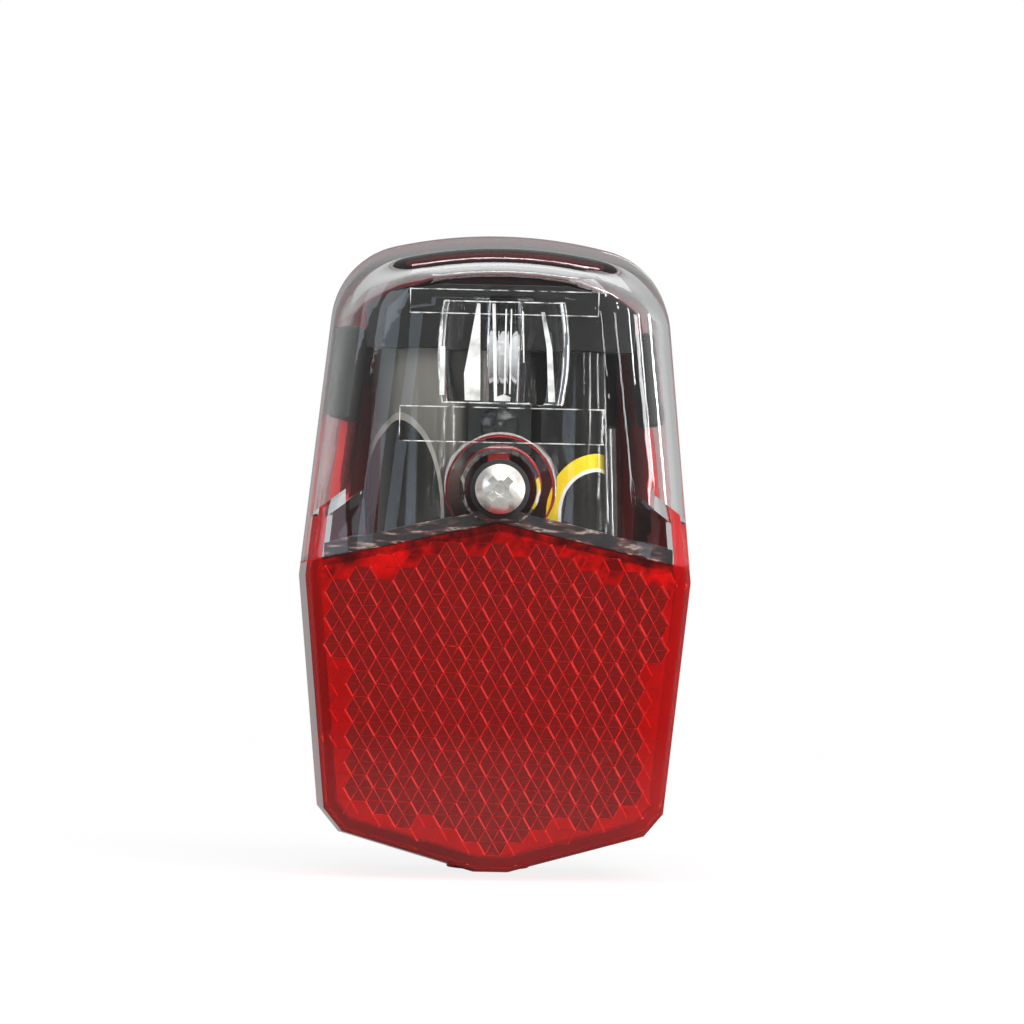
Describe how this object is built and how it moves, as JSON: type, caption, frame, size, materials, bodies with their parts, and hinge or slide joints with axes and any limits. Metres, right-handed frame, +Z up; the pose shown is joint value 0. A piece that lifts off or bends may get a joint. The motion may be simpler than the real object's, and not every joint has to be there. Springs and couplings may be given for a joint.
{
  "type": "bike rear light",
  "caption": "Mudguard rear light: clear upper cover over round cells and a lamp, red prism reflector below, red back housing with a threaded insert and a push button.",
  "frame": {"origin": "mouth of the threaded insert at the middle of the rear saddle", "axes": "+Y out of the insert, back to the mudguard; +Z up; the lit face looks along -Y; +X is right as seen from behind the bike"},
  "size_m": [0.0442, 0.0285, 0.0716],
  "materials": {
    "red_plastic": "glossy moulded",
    "clear_plastic": "polished clear",
    "red_lens": "polished clear red with prisms on the back",
    "black_plastic": "matt black",
    "nickel": "nickel plated",
    "black_rubber": "moulded",
    "brass": "turned",
    "cell_black": "glossy film over steel",
    "board": "solder mask",
    "lamp_epoxy": "clear epoxy",
    "white_plastic": "moulded"
  },
  "bodies": {
    "back": {"housing": "red_plastic", "reflector": "red_lens", "reflector_backing": "black_plastic", "mount_insert": "brass", "left_side_clip": "black_plastic", "right_side_clip": "black_plastic", "contact_wall": "black_plastic", "left_cell_jacket": "cell_black", "left_cell_cap": "nickel", "left_cell_base": "nickel", "right_cell_jacket": "cell_black", "right_cell_cap": "nickel", "right_cell_base": "nickel", "circuit_board": "board", "led_body": "lamp_epoxy", "led_legs": "nickel", "resistor": "black_plastic", "chip_blob": "black_plastic", "top_positive_contact": "nickel", "top_negative_contact": "nickel", "bottom_positive_contact": "nickel", "bottom_negative_contact": "nickel", "top_spring": "nickel", "bottom_spring": "nickel", "switch_body": "black_plastic", "switch_terminals": "nickel"},
    "cover": {"clear_cover": "clear_plastic", "screw_washer": "black_rubber"},
    "screw": {"cover_screw": "nickel"},
    "button": {"button_cap": "black_rubber", "switch_plunger": "white_plastic"}
  },
  "joints": [
    {"name": "cover_lift", "type": "slide", "parent": "back", "child": "cover", "axis": [0, -1, 0], "range_m": [0, 0.035]},
    {"name": "screw_turn", "type": "hinge", "parent": "cover", "child": "screw", "pos_m": [0, -0.024, 0.0069], "axis": [0, -1, 0], "range_deg": [0, 2088]},
    {"name": "button_press", "type": "slide", "parent": "back", "child": "button", "axis": [0, 0, 1], "range_m": [0, 0.001], "stiffness_N_per_m": 800, "springref_m": -0.0003}
  ]
}
